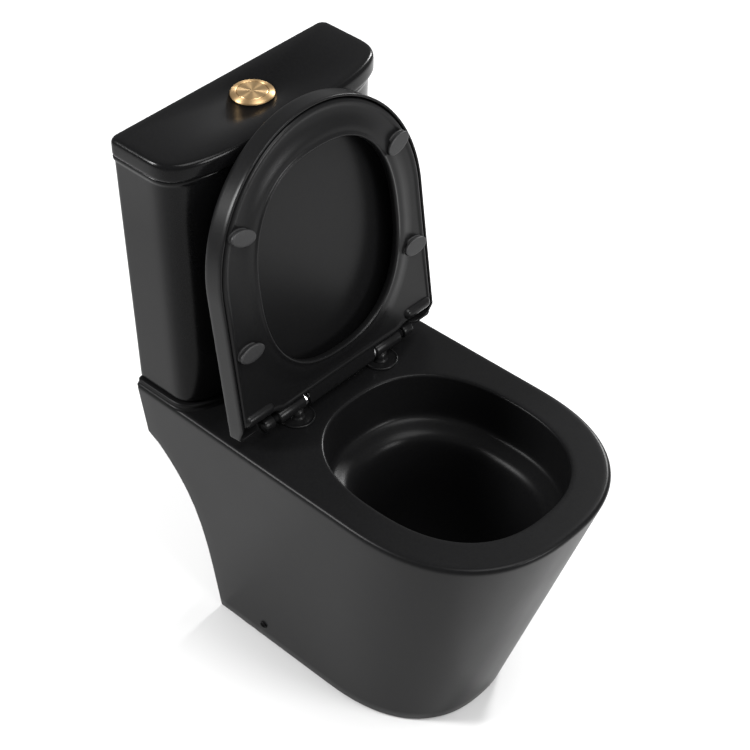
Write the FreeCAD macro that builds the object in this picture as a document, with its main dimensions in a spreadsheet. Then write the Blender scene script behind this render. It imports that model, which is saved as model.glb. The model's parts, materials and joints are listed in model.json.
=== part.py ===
import FreeCAD, Part
import math
import os
import Sketcher
from FreeCAD import Placement, Rotation, Vector

# A close coupled toilet: X runs across, Y from the front to the wall, Z up, in millimetres.
doc = FreeCAD.newDocument("toilet")
os.makedirs("parts", exist_ok=True)

# ---- driving sizes -------------------------------------------------------------------------
DRIVING = {
    # pan casting
    "pan_half_width": 180, "pan_half_length": 296, "deck_height": 404, "deck_rear_half": 175,
    "base_half_width": 125, "base_taper": 3, "base_setback": 78, "base_front_setback": 136,
    "casting_wall": 12, "deck_thickness": 14, "deck_round": 8, "shelf_drop": 90, "plinth_height": 8,
    "plinth_spread": 5, "pan_squareness": 2.4, "bend_lead": 4,
    # bowl
    "bowl_half_width": 131, "bowl_half_length": 157, "bowl_setback": 206, "rim_depth": 68,
    "ledge_drop": 14, "sump_floor": 112, "sump_shift": 45, "bowl_wall": 10,
    # trap and outlet
    "trap_radius": 38, "trap_wall": 8, "weir_height": 216, "weir_setback": 106,
    "outlet_radius": 51, "outlet_wall": 8, "outlet_height": 180, "outlet_reach": 44,
    # cistern
    "tank_bottom_half": 168, "tank_top_half": 178, "tank_height": 356, "tank_depth_bottom": 114,
    "tank_depth_top": 124, "tank_side_run": 61, "tank_wall": 9, "tank_floor": 12,
    "tank_squareness": 2.9, "cover_overhang": 4, "cover_height": 26, "cover_roof": 11,
    "cover_round": 4, "cover_squareness": 3.2, "tongue_inset": 16, "tongue_wall": 9,
    "tongue_drop": 10, "corner_round": 5,
    # flush button
    "button_setback": 59, "flange_radius": 27.6, "flange_height": 4.5, "cup_bore": 20, "cup_wall": 3,
    "cup_fit": 0.5, "cup_depth": 34, "button_fit": 0.08, "button_depth": 20, "button_split": 0.6,
    "button_skin": 3, "rod_radius": 3, "rod_gap": 2.5, "rod_offset": 16, "rod_fit": 0.3,
    "button_turn": 12,
    # flush valve
    "tail_radius": 28, "tail_bore": 24, "tail_length": 38, "tail_fit": 0.5, "valve_flange": 36,
    "valve_flange_thick": 5, "washer_thick": 3, "tower_radius": 34, "tower_wall": 3,
    "tower_length": 190, "cage_height": 44, "head_height": 14, "tube_radius": 12, "tube_wall": 2,
    "tube_fit": 0.3, "tube_rise": 30, "seal_radius": 27, "doughnut_radius": 46,
    "doughnut_height": 28, "doughnut_fit": 1, "nut_height": 12, "thread_fit": 0.05,
    # fill valve
    "inlet_line": 110, "inlet_radius": 10.3, "inlet_fit": 0.4, "inlet_flange": 17,
    "inlet_length": 72, "inlet_thread": 30, "riser_radius": 10, "riser_bore": 4,
    "riser_length": 268, "float_radius": 26, "float_height": 44, "float_fit": 0.08,
    "float_rise": 132,
    # bolts that hold the tank on the pan
    "bolt_line": 75, "bolt_radius": 4, "bolt_length": 58, "bolt_hole": 5, "hub_radius": 8,
    "plate_thick": 2,
    # seat hinge
    "hinge_setback": 33, "hinge_rise": 19, "fixing_line": 77.5, "fixing_lead": 3.5,
    "cap_radius": 23.5, "cap_height": 3, "barrel_radius": 10.5, "barrel_start": 66,
    "barrel_end": 112, "pin_radius": 4, "pin_fit": 0.05, "pin_press": 0.02, "pin_reach": 12,
    "collar_radius": 7, "collar_gap": 0.5, "knuckle_end": 60, "knuckle_spread": 0.8,
    "lug_start": 121, "lug_end": 134, "lug_radius": 7, "lug_skin": 2, "stud_length": 44,
    "stud_washer_thick": 4, "post_radius": 8, "open_angle": 97.2,
    # seat and seat lid, as they lie when closed
    "rim_gap": 9, "lid_inset": 4, "lid_overhang": 3, "lid_depth": 28.5, "lid_skin": 3.5,
    "lid_heel": 1, "seat_inset": 7.5, "seat_front_inset": 2, "side_bend_lead": 20, "seat_depth": 19,
    "seat_heel": 13, "hole_lead": 8, "hole_side_inset": 12, "hole_end_inset": 11,
    "hole_squareness": 2.4, "lip_height": 6.5, "lip_spread": 40, "lip_width": 4,
    "buffer_half_length": 21, "buffer_half_width": 12, "buffer_height": 8.5, "buffer_gap": 0.3,
    # floor brackets
    "bracket_y": 124, "bracket_z": 33, "bracket_thick": 4, "bracket_gap": 7, "bracket_half": 20,
    "bracket_foot": 46, "bracket_height": 56, "side_hole": 4.5, "screw_radius": 2.1,
}
# Sizes that follow from the ones above, kept in the sheet as formulas.
FOLLOWING = {
    "bowl_centre": "bowl_setback - pan_half_length",
    "deck_bend": "bowl_centre - bend_lead",
    "base_rear": "pan_half_length - base_setback",
    "base_front": "base_front_setback - pan_half_length",
    "rear_shelf": "deck_height - shelf_drop",
    "outlet_end": "base_rear + outlet_reach",
    "tank_front_bottom": "pan_half_length - tank_depth_bottom",
    "tank_front_top": "pan_half_length - tank_depth_top",
    "tank_bend": "pan_half_length - tank_side_run",
    "cover_half": "tank_top_half + cover_overhang",
    "cover_front": "tank_front_top - cover_overhang",
    "button_line": "pan_half_length - button_setback",
    "float_rest": "deck_height + plinth_height + tank_floor + float_rise",
    "valve_height": "washer_thick + valve_flange_thick + cage_height + tower_length",
    "rod_length": "tank_height + cover_height + flange_height - button_depth - tank_floor"
                  " - valve_height - rod_gap",
    "hinge_axis_y": "bowl_centre + bowl_half_length + hinge_setback",
    "hinge_axis_z": "deck_height + hinge_rise",
    "fixing_y": "hinge_axis_y - fixing_lead",
    "rim_plane": "deck_height + rim_gap",
    "lid_rear": "hinge_axis_y + lid_heel",
    "lid_half_width": "pan_half_width - lid_inset",
    "lid_front": "0 - pan_half_length - lid_overhang",
    "seat_rear": "hinge_axis_y - seat_heel",
    "seat_half_width": "pan_half_width - seat_inset",
    "seat_front": "seat_front_inset - pan_half_length",
    "side_bend": "bowl_centre - side_bend_lead",
    "hole_middle": "bowl_centre - hole_lead",
    "hole_half_width": "bowl_half_width - hole_side_inset",
    "hole_half_length": "bowl_half_length - hole_end_inset",
}
sheet = doc.addObject("Spreadsheet::Sheet", "Sizes")
cells = list(DRIVING.items()) + [(name, "=" + words) for name, words in FOLLOWING.items()]
for row, (name, amount) in enumerate(cells, start=1):
    sheet.set("A%d" % row, name)
    sheet.set("B%d" % row, str(amount))
    sheet.setAlias("B%d" % row, name)
doc.recompute()
size = {name: float(sheet.get(name)) for name, amount in cells}


# ---- helpers -------------------------------------------------------------------------------
def total(words):
    """The length that a sum of named sizes and numbers comes to."""
    amount, sign = 0.0, 1
    for word in words.split():
        if word in "+-":
            sign = 1 if word == "+" else -1
        else:
            amount += sign * (size[word] if word in size else float(word))
            sign = 1
    return amount


def bound(words):
    """The same sum, written as an expression on the sheet."""
    return " ".join("Sizes." + word if word in size else word for word in words.split())


def origin_part(body, role):
    """The plane or axis of a body's own origin that has this role."""
    return [part for part in body.Origin.OriginFeatures if part.Role == role][0]


def outline(body, plane, corners):
    """A closed sketch through corners, each a pair of sums bound to the sheet."""
    sketch = body.newObject("Sketcher::SketchObject", body.Name + "_outline")
    sketch.AttachmentSupport = [(origin_part(body, plane), "")]
    sketch.MapMode = "FlatFace"
    points = [Vector(total(across), total(along), 0) for across, along in corners]
    count = len(points)
    for i in range(count):
        sketch.addGeometry(Part.LineSegment(points[i], points[(i + 1) % count]), False)
    for i in range(count):
        sketch.addConstraint(Sketcher.Constraint("Coincident", i, 2, (i + 1) % count, 1))
    for i, (across, along) in enumerate(corners):
        for kind, axis, words in (("DistanceX", -2, across), ("DistanceY", -1, along)):
            amount = total(words)
            if words == "0":
                sketch.addConstraint(Sketcher.Constraint("PointOnObject", i, 1, axis))
            else:
                index = sketch.addConstraint(Sketcher.Constraint(kind, -1, 1, i, 1, amount))
                sketch.setExpression("Constraints[%d]" % index, bound(words))
    return sketch


def place(item, at, turn=None):
    """Put a piece at three sums, bound to the sheet, with an optional rotation."""
    item.Placement = Placement(Vector(*[total(words) for words in at]), turn or Rotation())
    for axis, words in zip("xyz", at):
        item.setExpression("Placement.Base." + axis, bound(words))


def turned(name, corners, at, turn=None):
    """A body revolved about its own Z axis from corners of (radius, height)."""
    body = doc.addObject("PartDesign::Body", name)
    sketch = outline(body, "XZ_Plane", corners)
    solid = body.newObject("PartDesign::Revolution", name + "_turned")
    solid.Profile = sketch
    solid.ReferenceAxis = (sketch, ["V_Axis"])
    solid.Angle = 360
    body.Tip = solid
    place(body, at, turn)
    return body


def ring(inner, outer, height):
    """Corners of a plain ring that stands on its own base plane."""
    return [(inner, "0"), (outer, "0"), (outer, height), (inner, height)]


def made(name, shape):
    """A piece whose shape is worked out from the sheet's sizes."""
    item = doc.addObject("Part::Feature", name)
    item.Shape = shape
    return item


def cylinder(radius, start, end):
    """A solid cylinder between two points."""
    way = end - start
    return Part.makeCylinder(radius, way.Length, start, way)


def block(low, high):
    """A solid box between two corners."""
    return Part.makeBox(high[0] - low[0], high[1] - low[1], high[2] - low[2], Vector(*low))


def curve(points):
    """One smooth edge through points."""
    spline = Part.BSplineCurve()
    spline.interpolate(points)
    return spline.toShape()


def oval(centre_y, half_x, half_y, power, z, steps=24):
    """A closed superellipse wire in two smooth halves, at height z."""
    halves = []
    for start in (0, math.pi):
        points = []
        for i in range(steps + 1):
            angle = start + math.pi * i / steps
            across, along = math.cos(angle), math.sin(angle)
            x = half_x * math.copysign(abs(across) ** (2 / power), across)
            y = half_y * math.copysign(abs(along) ** (2 / power), along)
            points.append(Vector(x, centre_y + y, z))
        halves.append(curve(points))
    return Part.Wire(halves)


def front_rounded(rear, bend, front, half_rear, half_bend, power, z, steps=20):
    """A wire with a straight back, straight sides and a superellipse front, at height z."""
    nose = []
    for i in range(steps + 1):
        angle = math.pi * i / steps
        across, along = math.cos(angle), math.sin(angle)
        x = half_bend * math.copysign(abs(across) ** (2 / power), across)
        nose.append(Vector(x, bend - (bend - front) * abs(along) ** (2 / power), z))
    right, left = Vector(half_rear, rear, z), Vector(-half_rear, rear, z)
    return Part.Wire([
        Part.makeLine(left, right), Part.makeLine(right, nose[0]),
        curve(nose), Part.makeLine(nose[-1], left)])


def loft(wires, ruled=False):
    """A solid through wires."""
    return Part.makeLoft(wires, True, ruled)


def rounded(shape, radius, wanted):
    """The shape with the edges that wanted() picks filleted."""
    edges = [edge for edge in shape.Edges if wanted(edge)]
    return shape.makeFillet(radius, edges) if edges else shape


def at_height(z, rear=None):
    """Picks edges that lie at one height, without those along the rear."""
    def wanted(edge):
        box = edge.BoundBox
        level = abs(box.ZMin - z) < 0.01 and abs(box.ZMax - z) < 0.01
        return level and not (rear is not None and box.YMin > rear - 1)
    return wanted


def both_sides(shape):
    """A shape and its mirror image across the middle."""
    return Part.makeCompound([shape, shape.mirror(Vector(0, 0, 0), Vector(1, 0, 0))])


def paired(name, source):
    """A node that holds a piece and its mirror image as separate solids."""
    return made(name, both_sides(source.Shape.copy()))


# ---- pan -----------------------------------------------------------------------------------
back = size["pan_half_length"]
deck = size["deck_height"]
casting = size["casting_wall"]
side_slope = (size["pan_half_width"] - size["base_half_width"]) / deck


def pan_wire(z, inset):
    """The pan's plan at height z, straight between the floor's plan and the deck's."""
    part = z / deck
    rear = back - inset
    bend = part * size["deck_bend"]
    front = size["base_front"] + part * (-back - size["base_front"]) + inset
    at_bend = size["base_half_width"] + part * (size["pan_half_width"] - size["base_half_width"])
    base_half = size["base_half_width"] - size["base_taper"]
    at_rear = base_half + part * (size["deck_rear_half"] - base_half)
    return front_rounded(rear, bend, front, at_rear - inset, at_bend - inset, size["pan_squareness"], z)


def bowl_form(grow, drop):
    """The bowl's hollow: an upright rim wall, a ledge and a deep basin; grown it is the shell."""
    half_x, half_y = size["bowl_half_width"] + grow, size["bowl_half_length"] + grow
    middle, foot = size["bowl_centre"], deck - size["rim_depth"] - drop
    ledge = foot - size["ledge_drop"]
    floor = size["sump_floor"] - drop
    top = deck + 10 if not grow else deck - 2
    depth = ledge - floor
    square = size["pan_squareness"]
    rim = oval(middle, half_x, half_y, square, top)
    upright = oval(middle - 1, half_x - 2, half_y - 4, square, foot)
    lip = oval(middle, half_x - 31, half_y - 29, 2.3, ledge)
    basin = [lip]
    for part, shift, side, reach in (
            (0.25, 1, 38, 40), (0.5, 5, 45, 51), (0.75, 16, 58, 71),
            (1, size["sump_shift"] - 1, 92, 116)):
        basin.append(oval(middle + shift, half_x - side, half_y - reach, 2.1, ledge - depth * part))
    return [loft([rim, upright], True), loft([upright, lip], True), loft(basin)]


# The trap leaves the sump, dips, climbs over the weir and falls to the outlet.
trap_start = Vector(0, size["bowl_centre"] + size["sump_shift"], size["sump_floor"] + size["trap_radius"])
weir_y = size["base_rear"] - size["weir_setback"]
weir_z = size["weir_height"]
trap_path = curve([
    trap_start, trap_start + Vector(0, 50, -8), Vector(0, weir_y - 50, weir_z - 30),
    Vector(0, weir_y, weir_z), Vector(0, weir_y + 48, weir_z - 22),
    Vector(0, weir_y + 93, size["outlet_height"])])


def trap_form(radius, end_radius, end):
    """The trap's bend and the straight run to the outlet."""
    way = trap_path.tangentAt(trap_path.FirstParameter)
    section = Part.Wire(Part.makeCircle(radius, trap_start, way))
    bend = Part.Wire(trap_path).makePipeShell([section], True, False)
    run = cylinder(end_radius, Vector(0, weir_y + 84, size["outlet_height"]),
                   Vector(0, end, size["outlet_height"]))
    return [bend, run]


shell = loft([pan_wire(0, 0), pan_wire(deck, 0)], True)
shell = rounded(shell, size["deck_round"], at_height(deck, back))
hollow = loft([pan_wire(-1, casting), pan_wire(deck - size["deck_thickness"], casting)], True)
# The back runs down flat behind the cistern, then sweeps in to the floor.
sweep = [
    (63, 0.965), (51, 0.93), (32, 0.86), (24, 0.79), (16, 0.7), (9, 0.56), (4, 0.4), (1, 0.22), (0, 0)]
shelf = size["rear_shelf"]
beside = -size["pan_half_width"] - 70
beyond = back + 104
edge_points = [Vector(beside, size["base_rear"] + y, shelf * part) for y, part in sweep]
edge_points[-1] = Vector(beside, size["base_rear"], -5)
back_curve = curve(edge_points)
back_lines = Part.makePolygon([
    edge_points[-1], Vector(beside, beyond, -5), Vector(beside, beyond, shelf),
    Vector(beside, back - 4, shelf), edge_points[0]])
back_cut = Part.Face(Part.Wire([back_curve] + back_lines.Edges)).extrude(Vector(-2 * beside, 0, 0))
shell = shell.cut(hollow)

plinth_half = size["tank_bottom_half"] + size["plinth_spread"]
stand = front_rounded(back, size["tank_bend"], size["tank_front_bottom"] - size["plinth_spread"],
                      plinth_half, plinth_half, size["tank_squareness"], deck - 2)
plinth = Part.Face(stand).extrude(Vector(0, 0, size["plinth_height"] + 2))
valve_y = size["button_line"]
seat_top = deck + size["plinth_height"]
chamber = cylinder(size["doughnut_radius"] + 12, Vector(0, valve_y, deck - 74), Vector(0, valve_y, deck))
duct_start = Vector(0, valve_y, deck - 50)
duct_end = Vector(0, size["bowl_centre"] + 110, deck - 112)
duct_bore = 22
duct = cylinder(duct_bore + size["trap_wall"], duct_start, duct_end)
solids = bowl_form(size["bowl_wall"], size["bowl_wall"])
solids += trap_form(size["trap_radius"] + size["trap_wall"], size["outlet_radius"], size["outlet_end"])
pan = shell.fuse(solids + [plinth, chamber, duct])
spigot = cylinder(size["outlet_radius"], Vector(0, weir_y, size["outlet_height"]),
                  Vector(0, back, size["outlet_height"]))
pan = pan.cut(back_cut.cut(spigot))
holes = bowl_form(0, 0)
holes += trap_form(size["trap_radius"], size["outlet_radius"] - size["outlet_wall"], size["outlet_end"] + 5)
holes.append(cylinder(size["doughnut_radius"] + size["doughnut_fit"],
                      Vector(0, valve_y, seat_top - size["doughnut_height"]), Vector(0, valve_y, seat_top + 5)))
holes.append(cylinder(size["tail_radius"] + 2, Vector(0, valve_y, deck - 62), Vector(0, valve_y, seat_top)))
holes.append(cylinder(duct_bore, duct_start, duct_end))
for side in (-1, 1):
    for x, y, radius in (
            (size["bolt_line"], valve_y, size["bolt_hole"]),
            (size["fixing_line"], size["fixing_y"], size["bolt_hole"])):
        holes.append(cylinder(radius, Vector(side * x, y, deck - 40), Vector(side * x, y, seat_top + 5)))
    hole_x = side * size["base_half_width"]
    holes.append(cylinder(size["side_hole"], Vector(0.7 * hole_x, size["bracket_y"], size["bracket_z"]),
                          Vector(1.3 * hole_x, size["bracket_y"], size["bracket_z"])))
holes.append(cylinder(size["inlet_flange"] + 1, Vector(size["inlet_line"], valve_y, deck - 40),
                      Vector(size["inlet_line"], valve_y, seat_top + 5)))
pan = pan.cut(holes)
made("pan", max(pan.Solids, key=lambda solid: solid.Volume))

# ---- cistern -------------------------------------------------------------------------------
tank_top = seat_top + size["tank_height"]


def tank_wire(z, inset):
    """The tank's plan at height z."""
    part = (z - seat_top) / size["tank_height"]
    half = size["tank_bottom_half"] + part * (size["tank_top_half"] - size["tank_bottom_half"]) - inset
    front = size["tank_front_bottom"] + part * (size["tank_front_top"] - size["tank_front_bottom"])
    return front_rounded(back - inset, size["tank_bend"], front + inset, half, half,
                         size["tank_squareness"], z)


tank = loft([tank_wire(seat_top, 0), tank_wire(tank_top, 0)], True)
tank = rounded(tank, size["corner_round"],
               lambda edge: abs(edge.BoundBox.YMin - back) < 0.01 and edge.BoundBox.ZLength > 100)
tank = rounded(tank, 2, at_height(seat_top))
inside_floor = seat_top + size["tank_floor"]
inside = [tank_wire(inside_floor, size["tank_wall"]), tank_wire(tank_top + 5, size["tank_wall"])]
tank = tank.cut(loft(inside, True))
tank_holes = []
for x, radius in ((0, size["tail_radius"] + size["tail_fit"]),
                  (size["inlet_line"], size["inlet_radius"] + size["inlet_fit"]),
                  (size["bolt_line"], size["bolt_hole"]), (-size["bolt_line"], size["bolt_hole"])):
    tank_holes.append(cylinder(radius, Vector(x, valve_y, seat_top - 5), Vector(x, valve_y, inside_floor + 5)))
made("cistern_tank", tank.cut(tank_holes))


def cover_wire(z, inset):
    """The cistern lid's plan at height z."""
    return front_rounded(back - inset, size["tank_bend"], size["cover_front"] + inset,
                         size["cover_half"] - inset, size["cover_half"] - inset,
                         size["cover_squareness"], z)


cover_top = tank_top + size["cover_height"]
cover = Part.Face(cover_wire(tank_top, 0)).extrude(Vector(0, 0, size["cover_height"]))
cover = rounded(cover, size["corner_round"],
                lambda edge: abs(edge.BoundBox.YMin - back) < 0.01 and edge.BoundBox.ZLength > 20)
cover = rounded(cover, size["cover_round"], at_height(cover_top))
tongue = Part.Face(cover_wire(tank_top - size["tongue_drop"], size["tongue_inset"])).extrude(
    Vector(0, 0, size["tongue_drop"] + 2))
under_foot = tank_top - size["tongue_drop"] - 1
under = Part.Face(cover_wire(under_foot, size["tongue_inset"] + size["tongue_wall"])).extrude(
    Vector(0, 0, cover_top - size["cover_roof"] - under_foot))
cup_hole = cylinder(size["cup_bore"] + size["cup_wall"] + size["cup_fit"], Vector(0, valve_y, tank_top),
                    Vector(0, valve_y, cover_top + 5))
made("cistern_lid", cover.fuse(tongue).cut([under, cup_hole]))

# ---- flush button --------------------------------------------------------------------------
button_at = ("0", "button_line", "deck_height + plinth_height + tank_height + cover_height")
cup = [("cup_bore", "0 - cup_depth"), ("cup_bore + cup_wall", "0 - cup_depth"), ("cup_bore + cup_wall", "0"),
       ("flange_radius", "0"), ("flange_radius", "flange_height - 2"),
       ("flange_radius - 2", "flange_height"), ("cup_bore", "flange_height")]
turned("button_flange", cup, button_at)
turned("button_locknut", ring("cup_bore + cup_wall + thread_fit", "cup_bore + cup_wall + 9", "6"),
       ("0", "button_line", "deck_height + plinth_height + tank_height + cover_height - cover_roof - 6"))

button_top = cover_top + size["flange_height"]
split_turn = Rotation(Vector(0, 0, 1), size["button_turn"])
for name, side in (("full_flush_button", 1), ("half_flush_button", -1)):
    disc = Part.makeCylinder(size["cup_bore"] - size["button_fit"], size["button_depth"])
    disc = disc.makeChamfer(0.6, [edge for edge in disc.Edges if at_height(size["button_depth"])(edge)])
    cell = disc.cut(Part.makeCylinder(size["cup_bore"] - size["button_skin"],
                                      size["button_depth"] - size["button_skin"]))
    web_height = size["button_depth"] - 1
    web = block((-size["cup_bore"], -1.5, 0), (size["cup_bore"], 1.5, web_height))
    cell = cell.fuse([web.common(disc)] + [
        Part.makeCylinder(2 * size["rod_radius"], web_height, Vector(x, 0, 0))
        for x in (size["rod_offset"] - 4, 4 - size["rod_offset"])])
    span = 2 * size["cup_bore"]
    low_x = 0 if side > 0 else -span
    half = block((low_x, -span, -5), (low_x + span, span, size["button_depth"] + 5))
    half.translate(Vector(side * size["button_split"] / 2, 0, 0))
    button = made(name, cell.common(half))
    button.Placement = Placement(Vector(0, valve_y, button_top - size["button_depth"]), split_turn)
for name, side in (("full_push_rod", 1), ("half_push_rod", -1)):
    spot = split_turn.multVec(Vector(size["rod_offset"] * side, 0, 0)) + Vector(0, valve_y, 0)
    rod_top = button_top - size["button_depth"]
    rod = cylinder(size["rod_radius"], spot + Vector(0, 0, rod_top - size["rod_length"]),
                   spot + Vector(0, 0, rod_top))
    made(name, rounded(rod, 1, at_height(rod_top - size["rod_length"])))

# ---- flush valve ---------------------------------------------------------------------------
floor_z = "deck_height + plinth_height + tank_floor"
turned("valve_washer", ring("tail_radius + tube_fit", "valve_flange", "washer_thick"),
       ("0", "button_line", floor_z))
base = [("tail_bore", "0 - tail_length"), ("tail_radius", "0 - tail_length"), ("tail_radius", "0"),
        ("valve_flange", "0"), ("valve_flange", "valve_flange_thick"), ("tail_bore + 3", "valve_flange_thick"),
        ("tail_bore + 3", "valve_flange_thick + 4"), ("tail_bore", "valve_flange_thick + 4")]
turned("valve_seat", base, ("0", "button_line", floor_z + " + washer_thick"))
turned("valve_locknut", ring("tail_radius + thread_fit", "tail_radius + 8", "nut_height"),
       ("0", "button_line", "deck_height + plinth_height - nut_height"))
turned("doughnut_gasket", ring("tail_radius + 8.3", "doughnut_radius", "doughnut_height"),
       ("0", "button_line", "deck_height + plinth_height - doughnut_height"))

cage_z = inside_floor + size["washer_thick"] + size["valve_flange_thick"]
tower_z = cage_z + size["cage_height"]
tower_r = size["tower_radius"]
tower_skin = size["tower_wall"]
tube_hole = size["tube_radius"] + size["tube_fit"]
tower_top = tower_z + size["tower_length"]
centre = Vector(0, valve_y, 0)
tower = cylinder(tower_r, centre + Vector(0, 0, tower_z), centre + Vector(0, 0, tower_top))
tower = tower.cut(cylinder(tower_r - tower_skin, centre + Vector(0, 0, tower_z + tower_skin),
                           centre + Vector(0, 0, tower_top + 5)))
tower = tower.cut(cylinder(tube_hole, centre + Vector(0, 0, tower_z - 5),
                           centre + Vector(0, 0, tower_z + 20)))
for turn in (45, 135, 225, 315):
    post = block((tower_r - 5, -4, cage_z), (tower_r, 4, tower_z + 1))
    post.rotate(Vector(0, 0, 0), Vector(0, 0, 1), turn)
    post.translate(centre)
    tower = tower.fuse(post)
made("valve_tower", tower)
head = cylinder(tower_r, centre + Vector(0, 0, tower_top),
                centre + Vector(0, 0, tower_top + size["head_height"]))
head_holes = [cylinder(tube_hole, centre + Vector(0, 0, tower_top - 5),
                       centre + Vector(0, 0, tower_top + 8))]
for side in (-1, 1):
    spot = split_turn.multVec(Vector(size["rod_offset"] * side, 0, 0)) + centre
    head_holes.append(cylinder(size["rod_radius"] + size["rod_fit"], spot + Vector(0, 0, tower_top - 5),
                               spot + Vector(0, 0, tower_top + 20)))
made("valve_head", head.cut(head_holes))
seal_z = floor_z + " + washer_thick + valve_flange_thick + 4"
turned("valve_seal", ring("tube_radius + thread_fit", "seal_radius", "3"), ("0", "button_line", seal_z))
turned("overflow_tube", [
    ("tube_radius - tube_wall", "0"), ("tube_radius", "0"), ("tube_radius", "3"),
    ("seal_radius - 3", "3.05"), ("seal_radius - 3", "6"), ("tube_radius", "6"),
    ("tube_radius", "tower_length + tube_rise"), ("tube_radius - tube_wall", "tower_length + tube_rise")],
    ("0", "button_line", seal_z))

# ---- fill valve ----------------------------------------------------------------------------
turned("inlet_washer", ring("inlet_radius + 0.2", "inlet_flange", "washer_thick"),
       ("inlet_line", "button_line", floor_z))
riser = [
    ("riser_bore", "0 - inlet_length"), ("inlet_radius", "0 - inlet_length"),
    ("inlet_radius", "inlet_thread - inlet_length"), ("inlet_radius - 0.2", "inlet_thread - inlet_length"),
    ("inlet_radius - 0.2", "0"), ("inlet_flange", "0"), ("inlet_flange", "6"), ("riser_radius", "6"),
    ("riser_radius", "riser_length"), ("riser_bore", "riser_length")]
turned("fill_valve_riser", riser, ("inlet_line", "button_line", floor_z + " + washer_thick"))
turned("inlet_locknut", ring("inlet_radius + thread_fit", "16", "10"),
       ("inlet_line", "button_line", "deck_height + plinth_height - 10"))
turned("float_cup", [
    ("riser_radius + float_fit", "0"), ("riser_radius + 2", "0"), ("riser_radius + 2", "float_height - 3"),
    ("float_radius - 2", "float_height - 3"), ("float_radius - 2", "0"), ("float_radius", "0"),
    ("float_radius", "float_height"), ("riser_radius + float_fit", "float_height")],
    ("inlet_line", "button_line", "float_rest"))
turned("fill_valve_cap", [
    ("0", "0"), ("riser_radius + 6", "0"), ("riser_radius + 8", "4"), ("riser_radius + 8", "20"),
    ("riser_radius + 5", "24"), ("0", "24")],
    ("inlet_line", "button_line", floor_z + " + washer_thick + riser_length"))

# ---- bolts between the tank and the pan ----------------------------------------------------
deck_under = "deck_height - deck_thickness"
bolt = turned("bolt_source", [
    ("0", "0 - bolt_length"), ("bolt_radius", "0 - bolt_length"), ("bolt_radius", "0"),
    ("9", "0"), ("9", "4"), ("7", "6"), ("0", "6")],
    ("bolt_line", "button_line", floor_z + " + washer_thick"))
bolt_washer = turned("bolt_washer_source", ring("bolt_radius + 0.1", "11", "washer_thick"),
                     ("bolt_line", "button_line", floor_z))
bolt_plate = turned("bolt_plate_source", ring("bolt_radius + 0.3", "12", "plate_thick"),
                    ("bolt_line", "button_line", deck_under + " - plate_thick"))
doc.recompute()


def wing_nut(x, y, top, bore):
    """A wing nut whose flat face is at height top."""
    hub = cylinder(size["hub_radius"], Vector(x, y, top - 8), Vector(x, y, top))
    for side in (-1, 1):
        wing = block((x + side * 11 - 5, y - 1.5, top - 16), (x + side * 11 + 5, y + 1.5, top - 2))
        hub = hub.fuse(rounded(wing, 1.4, lambda edge: edge.BoundBox.XLength + edge.BoundBox.ZLength < 1))
    return hub.cut(cylinder(bore, Vector(x, y, top - 20), Vector(x, y, top + 5)))


under_deck = deck - size["deck_thickness"]
paired("coupling_bolts", bolt)
paired("coupling_washers", bolt_washer)
paired("coupling_plates", bolt_plate)
made("coupling_wing_nuts", both_sides(wing_nut(
    size["bolt_line"], valve_y, under_deck - size["plate_thick"], size["bolt_radius"] + size["thread_fit"])))

# ---- hinge ---------------------------------------------------------------------------------
cap = turned("cap_source", [
    ("bolt_radius + thread_fit", "0"), ("cap_radius", "0"), ("cap_radius", "cap_height - 1"),
    ("cap_radius - 1", "cap_height"), ("bolt_radius + thread_fit", "cap_height")],
    ("fixing_line", "fixing_y", "deck_height"))
stud = turned("stud_source", ring("0", "bolt_radius", "stud_length"),
              ("fixing_line", "fixing_y", "deck_height + cap_height - stud_length"))
stud_washer = turned("stud_washer_source", ring("bolt_radius + 0.1", "13", "stud_washer_thick"),
                     ("fixing_line", "fixing_y", deck_under + " - stud_washer_thick"))
across_turn = Rotation(Vector(0, 1, 0), 90)
pin = turned("pin_source", [
    ("0", "0"), ("pin_radius - 0.6", "0"), ("pin_radius", "0.6"), ("pin_radius", "pin_reach + collar_gap"),
    ("collar_radius", "pin_reach + collar_gap"),
    ("collar_radius", "barrel_start - knuckle_end + pin_reach - collar_gap"),
    ("pin_radius", "barrel_start - knuckle_end + pin_reach - collar_gap"),
    ("pin_radius", "lug_end - knuckle_end + pin_reach - lug_skin"),
    ("0", "lug_end - knuckle_end + pin_reach - lug_skin")],
    ("knuckle_end - pin_reach", "hinge_axis_y", "hinge_axis_z"), across_turn)
doc.recompute()
paired("hinge_caps", cap)
paired("fixing_studs", stud)
paired("stud_washers", stud_washer)
made("stud_wing_nuts", both_sides(wing_nut(
    size["fixing_line"], size["fixing_y"], under_deck - size["stud_washer_thick"],
    size["bolt_radius"] + size["thread_fit"])))
paired("hinge_pins", pin)
for name in ("bolt", "bolt_washer", "bolt_plate", "cap", "stud", "stud_washer", "pin"):
    doc.getObject(name + "_source").Label = name + "_master"

axis_y, axis_z = size["hinge_axis_y"], size["hinge_axis_z"]


def along_x(radius, start, end):
    """A cylinder along the hinge's axis from x = start to x = end."""
    return cylinder(radius, Vector(start, axis_y, axis_z), Vector(end, axis_y, axis_z))


barrel = along_x(size["barrel_radius"], size["barrel_start"], size["barrel_end"])
barrel = rounded(barrel, 1.5, lambda edge: edge.BoundBox.XLength < 0.01)
fixing = Vector(size["fixing_line"], size["fixing_y"], 0)
post = cylinder(size["post_radius"], fixing + Vector(0, 0, deck + size["cap_height"]),
                fixing + Vector(0, 0, axis_z))
barrel = barrel.fuse(post).cut(along_x(
    size["pin_radius"] + size["pin_press"], size["knuckle_end"] - 10, size["lug_end"] + 6))
made("hinge_barrels", both_sides(barrel))

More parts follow.
